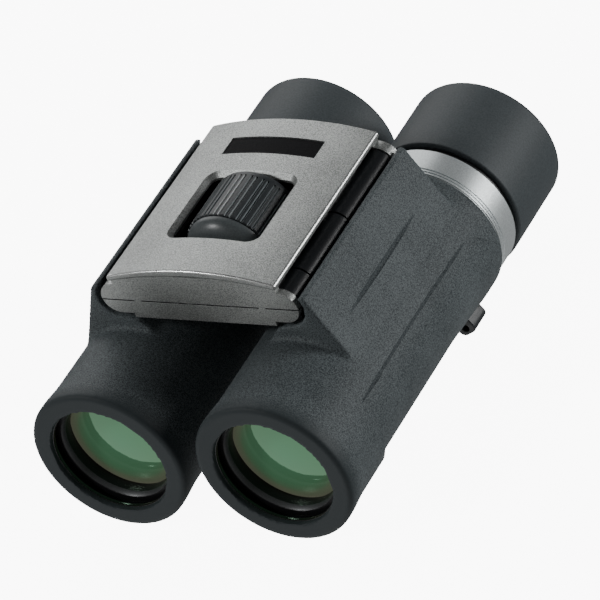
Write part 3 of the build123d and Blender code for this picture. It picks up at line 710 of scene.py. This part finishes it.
flare = 1.1
screw_x = 8
screw_rows = (27.6, 69.1)
screw_holes = ((2.1, 0.7), (1.1, 3.0))
badge_x = 11.6
badge_span = (62.0, 67.7)
hinge_reach = hinge_x / mm


def crowned(reach, drop, steps=24):
    """Points across the bridge, left to right, that far under its crowned top."""
    sides = [-reach + 2 * reach * step / steps for step in range(steps + 1)]
    return [(u, crown_top - drop - crown_r + sqrt(crown_r ** 2 - u ** 2)) for u in sides]


def slab(name, outline, low, high):
    """An upright block from an outline seen from above, in mm."""
    places = [Vector((u * mm, at(v), low)) for u, v in outline]
    piece = drawn(name, places)
    bpy.ops.mesh.select_all(action="SELECT")
    bpy.ops.mesh.edge_face_add()
    bpy.ops.mesh.extrude_region_move(TRANSFORM_OT_translate={"value": (0, 0, high - low)})
    return cleaned(piece)


def window_outline(reach, front, rear, corner):
    places = ((-reach, front), (reach, front), (reach, rear), (-reach, rear))
    return rounded([(*place, corner) for place in places], 6)


def ear_wall(upper):
    """Cross-section of an end wall above or below the split, from the height of the hinges."""
    edge = split + (split_gap if upper else -split_gap)
    first, last = asin(edge / ear_r), pi / 2 if upper else -pi / 2
    angles = [first + (last - first) * step / 10 for step in range(11)]
    half = [(hinge_reach + ear_r * cos(angle), ear_r * sin(angle)) for angle in angles]
    half += [(20.2, ear_r), (20.2, 5.3), (10.0, 6.9)] if upper else [(17.5, -ear_r), (17.5, -5.0)]
    return half + [(-u, v) for u, v in reversed(half)]


def make_shell(name, upper):
    """The end walls and side walls of one cover, joined to its plate or its floor."""
    if upper:
        underside = [
            (u, v - plate_thickness - middle_thickness * (1 - (u / plate_x) ** 2))
            for u, v in reversed(crowned(plate_x, 0))
        ]
        section = crowned(plate_x, 0) + underside
        shell = bar(name, 0, 0, section, *plate_span)
        applied(
            shell, "BEVEL", width=plate_bevel * mm, segments=4, limit_method="ANGLE",
            angle_limit=radians(50),
        )
    else:
        low = hinge_z / mm - floor_drop
        high = low + floor_thickness
        section = [(-floor_x, low), (floor_x, low), (floor_x, high), (-floor_x, high)]
        shell = bar(name, 0, 0, section, *body_span)
    for front, rear in wall_spans:
        combined(shell, bar("wall", 0, hinge_z, ear_wall(upper), front, rear), "UNION")
    low, high = (split, side_top) if upper else (-floor_drop, split)
    inner, outer = side_wall
    for front, rear in side_spans:
        for side in (-1, 1):
            wall = [
                (side * inner, low), (side * outer, low), (side * outer, high), (side * inner, high),
            ]
            combined(shell, bar("side_wall", 0, hinge_z, wall, front, rear), "UNION")
    for side in (-1, 1):
        pin = bar("pin_hole", side * hinge_x, hinge_z, circle_outline(pin_hole_r, 32), *pin_hole_span)
        combined(shell, pin, "DIFFERENCE")
    return shell


def on_window_rim(place, margin=0.05, depth=0.08):
    """Whether a place, in mm, lies on the upper edge of the window."""
    distance = place.y - front_rim / mm
    inside = window_span[0] - margin < distance < window_span[1] + margin
    top = crown_top - crown_r + sqrt(crown_r ** 2 - place.x ** 2)
    return abs(place.x) < window_x + margin and inside and place.z > top - depth


def flare_window(cover):
    """Bevels the upper edge of the window, which follows the crown."""
    pick(cover)
    bpy.ops.object.mode_set(mode="EDIT")
    bpy.ops.mesh.select_all(action="DESELECT")
    bpy.ops.mesh.select_mode(type="EDGE")
    bpy.ops.object.mode_set(mode="OBJECT")
    places = [vertex.co / mm for vertex in cover.data.vertices]
    for edge in cover.data.edges:
        edge.select = all(on_window_rim(places[index]) for index in edge.vertices)
    bpy.ops.object.mode_set(mode="EDIT")
    bpy.ops.mesh.bevel(offset=flare * mm, offset_type="OFFSET", segments=1, affect="EDGES")
    bpy.ops.mesh.select_mode(type="VERT")
    bpy.ops.object.mode_set(mode="OBJECT")


def make_top_cover():
    cover = make_shell("silver_top_cover", True)
    middle = sum(window_span) / 2
    half = (window_span[1] - window_span[0]) / 2
    opening = [(u, v + middle) for u, v in window_outline(window_x, -half, half, window_corner)]
    combined(cover, slab("opening", opening, hinge_z, hinge_z + 20 * mm), "DIFFERENCE")
    flare_window(cover)
    ceiling = [(-badge_x, crown_top + 3), (badge_x, crown_top + 3)]
    recess = bar("badge_recess", 0, 0, [*ceiling, *reversed(crowned(badge_x, 0.6, 12))], *badge_span)
    combined(cover, recess, "DIFFERENCE")
    applied(cover, "BEVEL", width=0.1 * mm, segments=2, limit_method="ANGLE", angle_limit=radians(35))
    applied(cover, "WEIGHTED_NORMAL", keep_sharp=True)
    return cover


def make_bottom_cover():
    cover = make_shell("silver_bottom_cover", False)
    floor_low = hinge_z - floor_drop * mm
    opening = window_outline(10.1, window_span[0] - 0.6, window_span[1] + 0.6, window_corner)
    combined(cover, slab("opening", opening, floor_low - mm, floor_low + 3 * mm), "DIFFERENCE")
    for side in (-screw_x, screw_x):
        for distance in screw_rows:
            for radius, top in screw_holes:
                hole = [(side + u, distance + v) for u, v in circle_outline(radius, 32)]
                combined(cover, slab("hole", hole, floor_low - mm, floor_low + top * mm), "DIFFERENCE")
    applied(cover, "BEVEL", width=0.15 * mm, segments=2, limit_method="ANGLE", angle_limit=radians(35))
    applied(cover, "WEIGHTED_NORMAL", keep_sharp=True)
    return cover


silver_paint = grained(
    "satin_silver_paint", (0.155, 0.163, 0.158), (0.40, 0.415, 0.404), 0.24, (0.36, 0.44), 0.14, 0.1,
    Metallic=0.6,
)
top_cover = make_top_cover()
fitted(top_cover, "bridge_top_cover", "bridge", silver_paint)
# Painted highlight: a brighter, more metallic silver on the bevels along the plate's ends and sides.
edge_highlight_silver = grained(
    "thin_paint_on_edges", (0.5, 0.51, 0.505), (0.72, 0.73, 0.72), 0.22, (0.24, 0.3), 0.05, 0.12,
    Metallic=0.8,
)
top_cover.data.materials.append(edge_highlight_silver)
end_margin = 0.55
above_ears = 5.5
edge_tilt = (radians(18), radians(76))
for face in top_cover.data.polygons:
    near_end = min(abs(face.center.y - at(end)) for end in plate_span) < end_margin * mm
    above = face.center.z > hinge_z + above_ears * mm
    near_side = abs(face.center.x) > (plate_x - plate_bevel) * mm and above
    tilt = face.normal.angle(Vector((0, 0, 1)))
    if (near_end or near_side) and edge_tilt[0] < tilt < edge_tilt[1]:
        face.material_index = 1
bottom_cover = make_bottom_cover()
fitted(bottom_cover, "bridge_bottom_cover", "bridge", silver_paint)
# Painted shade: the flat faces along the split get the black plastic, so the gap between the covers
# reads dark.
for cover in (top_cover, bottom_cover):
    cover.data.materials.append(housing_plastic)
    for face in cover.data.polygons:
        in_split_shade = abs(face.center.z - hinge_z - split * mm) < 2 * split_gap * mm
        if abs(face.normal.z) > 0.8 and in_split_shade:
            face.material_index = len(cover.data.materials) - 1
screw_steel = grained(
    "plated_screw_steel", (0.3, 0.3, 0.31), (0.42, 0.42, 0.43), 0.15, (0.28, 0.38), 0.08,
    Metallic=1.0,
)
carried(["cover_screws", "shaft_clips"], screw_steel)


# ---------------------------------------------------------------------------------------------
# Badge: a thin black lacquered plate, left blank, glued into a recess behind the focus wheel. It
# follows the crown of the cover.
# ---------------------------------------------------------------------------------------------
badge_gap = 0.15
badge_top = crowned(badge_x - badge_gap, 0.2, 12)
badge_foot = list(reversed(crowned(badge_x - badge_gap, 0.58, 12)))
badge_ends = badge_span[0] + badge_gap, badge_span[1] - badge_gap
badge = bar("blank_badge", 0, 0, badge_top + badge_foot, *badge_ends)
applied(badge, "BEVEL", width=0.08 * mm, segments=2, limit_method="ANGLE", angle_limit=radians(35))
badge_lacquer = grained(
    "black_badge_lacquer", (0.004, 0.004, 0.005), (0.009, 0.009, 0.01), 0.3, (0.4, 0.5), 0.03,
    Specular_IOR_Level=0.02,
)
fitted(cleaned(badge), "badge_plate", "bridge", badge_lacquer)


# ---------------------------------------------------------------------------------------------
# Focus wheel: a turned core on a brass screw, with a rubber grip pressed over it and a smooth
# domed cap in front. The grip has pairs of grooves cut along it, with plain lands between them.
# ---------------------------------------------------------------------------------------------
wheel_z = hinge_z + 0.6 * mm
wheel_r = 10.4
grip_span = (38.9, 54.5)
rib_end = 52.3
grip_bore = 9.25
groups = 24
groove_apart = 1.12
groove = [(-0.34, 0.05), (0.34, 0.05), (0.1, -0.34), (-0.1, -0.34)]


def make_grip():
    front, rear = grip_span
    outline = rounded(
        [(front, grip_bore), (front, wheel_r, 0.25), (rear, wheel_r, 1.9), (rear, grip_bore)], 6
    )
    grip = ring_of("ribbed_wheel_grip", 0, wheel_z, outline, 192)
    cutter = bar("grooves", 0, wheel_z + wheel_r * mm, groove, front - 1, rib_end)
    bpy.ops.object.mode_set(mode="EDIT")
    bpy.ops.mesh.select_all(action="SELECT")
    bpy.ops.transform.translate(value=(-groove_apart / 2 * mm, 0, 0))
    bpy.ops.mesh.duplicate_move(TRANSFORM_OT_translate={"value": (groove_apart * mm, 0, 0)})
    bpy.ops.mesh.select_all(action="SELECT")
    last = 2 * pi * (groups - 1) / groups
    bpy.ops.mesh.spin(
        steps=groups - 1, angle=last, center=(0, 0, wheel_z), axis=(0, 1, 0), dupli=True
    )
    bpy.ops.mesh.select_all(action="SELECT")
    bpy.ops.mesh.normals_make_consistent(inside=False)
    bpy.ops.object.mode_set(mode="OBJECT")
    combined(grip, cutter, "DIFFERENCE")
    return cleaned(grip, 30)


wheel_rubber = grained(
    "ribbed_wheel_rubber", (0.016, 0.019, 0.021), (0.028, 0.033, 0.036), 0.25, (0.36, 0.44), 0.1,
    Specular_IOR_Level=0.35,
)
grip = make_grip()
fitted(grip, "focus_wheel_grip", "focus_wheel", wheel_rubber)
# Painted highlight: a lighter, glossier rubber on the bevelled edges of the grooves.
rib_highlight_rubber = grained(
    "rubbed_rib_edges", (0.10, 0.115, 0.12), (0.2, 0.225, 0.23), 0.25, (0.25, 0.33), 0.05,
    Specular_IOR_Level=0.6,
)
grip.data.materials.append(rib_highlight_rubber)
rib_tilt = (radians(15), radians(65))
for face in grip.data.polygons:
    outward = Vector((face.center.x, 0, face.center.z - wheel_z))
    if rib_tilt[0] < face.normal.angle(outward) < rib_tilt[1] and abs(face.normal.y) < 0.3:
        face.material_index = 1

cap_rear = 38.7
dome_angles = [pi / 2 * k / 12 for k in range(13)]
dome = [(cap_rear - 3.6 * cos(angle), 4.6 + 5.4 * sin(angle)) for angle in dome_angles]
cap_outline = [(dome[0][0], 0), *dome, (cap_rear, 9.3), (38.85, grip_bore), (38.85, 0)]
cap = turned("domed_wheel_cap", 0, wheel_z, cap_outline)
cap_finish = grained(
    "satin_cap_plastic", (0.06, 0.07, 0.073), (0.085, 0.098, 0.1), 0.3, (0.3, 0.36), 0.03,
    Specular_IOR_Level=0.45,
)
fitted(cap, "focus_wheel_cap", "focus_wheel", cap_finish)
carried(["focus_wheel_core"], housing_plastic)
brass = grained(
    "turned_brass", (0.52, 0.36, 0.13), (0.66, 0.48, 0.2), 0.2, (0.22, 0.34), 0.06, Metallic=1.0,
)
carried(["focus_screw"], brass)
carried(["focus_carriage"], anodised)


# ---------------------------------------------------------------------------------------------
# Studio: a white floor that glows from within and takes almost no shadow, three soft lamps, and
# the camera. The world is dim but for its lower front left, and pale where the camera sees it.
# ---------------------------------------------------------------------------------------------
deselect()
bpy.ops.mesh.primitive_plane_add(size=4.0, location=(0, 0, 0))
floor = bpy.context.object
floor.name = "floor"
floor_white = grained(
    "white_floor", (0.93, 0.93, 0.93), (0.95, 0.95, 0.95), 20.0, (0.7, 0.8), 0.0,
    Emission_Color=(1, 1, 1, 1), Emission_Strength=9.0,
)
painted(floor, floor_white)
floor.visible_diffuse = False
floor.visible_glossy = False


lamp_aim = (0, 0, 0.02)


def softbox(name, place, size, power):
    """A square lamp at a place, aimed at the middle of the object."""
    lamp = bpy.data.objects.new(name, bpy.data.lights.new(name, "AREA"))
    bpy.context.collection.objects.link(lamp)
    lamp.data.size = size
    lamp.data.energy = power
    lamp.location = place
    lamp.rotation_euler = (Vector(lamp_aim) - Vector(place)).to_track_quat("-Z", "Y").to_euler()


softbox("right", (0.80, 0.45, 0.24), 0.4, 6.5)
softbox("left", (-0.62, 0.62, 0.60), 0.9, 5.8)
softbox("edge", (-0.46, -0.50, 0.56), 0.12, 2.4)
backdrop_level = 9.6
world = bpy.data.worlds.new("studio")
bpy.context.scene.world = world
world.use_nodes = True
nodes, links = world.node_tree.nodes, world.node_tree.links
direction = nodes.new("ShaderNodeTexCoord")
brightness = nodes.new("ShaderNodeVectorMath")
brightness.operation = "DOT_PRODUCT"
brightness.inputs[1].default_value = Vector((-0.4, -0.5, -0.77)).normalized()
shifted = nodes.new("ShaderNodeMapRange")
shifted.inputs["From Min"].default_value = -1.0
sky = nodes.new("ShaderNodeValToRGB")
sky.color_ramp.elements[0].position = 0.0
sky.color_ramp.elements[0].color = (0.07, 0.07, 0.073, 1)
sky.color_ramp.elements[1].position = 1.0
sky.color_ramp.elements[1].color = (1.1, 1.1, 1.1, 1)
for position, level in ((0.3, 0.1), (0.45, 0.16), (0.7, 0.3)):
    shade = sky.color_ramp.elements.new(position)
    shade.color = (level, level, level, 1)
links.new(direction.outputs["Generated"], brightness.inputs[0])
links.new(brightness.outputs["Value"], shifted.inputs["Value"])
links.new(shifted.outputs["Result"], sky.inputs["Fac"])
ray = nodes.new("ShaderNodeLightPath")
backdrop = nodes.new("ShaderNodeMix")
backdrop.data_type = "RGBA"
backdrop.inputs["B"].default_value = (*[backdrop_level] * 3, 1)
links.new(ray.outputs["Is Camera Ray"], backdrop.inputs["Factor"])
links.new(sky.outputs["Color"], backdrop.inputs["A"])
links.new(backdrop.outputs["Result"], nodes["Background"].inputs["Color"])
nodes["Background"].inputs["Strength"].default_value = 1.0

azimuth, elevation, roll = radians(39.07), radians(34.68), radians(-21.36)
back = Vector((sin(azimuth) * cos(elevation), -cos(azimuth) * cos(elevation), sin(elevation)))
right = Vector((cos(azimuth), sin(azimuth), 0))
up = back.cross(right)
turn = Matrix.Rotation(roll, 3, back)
right, up = turn @ right, turn @ up
aim = Vector((2.35, -3.84, 21.55)) * mm
camera_distance = 1.032
camera = bpy.data.objects.new("camera", bpy.data.cameras.new("camera"))
bpy.context.collection.objects.link(camera)
camera.data.lens = 287.7
camera.data.sensor_width = 36.0
axes = Matrix((right, up, back)).transposed().to_4x4()
camera.matrix_world = Matrix.Translation(aim + back * camera_distance) @ axes
bpy.context.scene.camera = camera
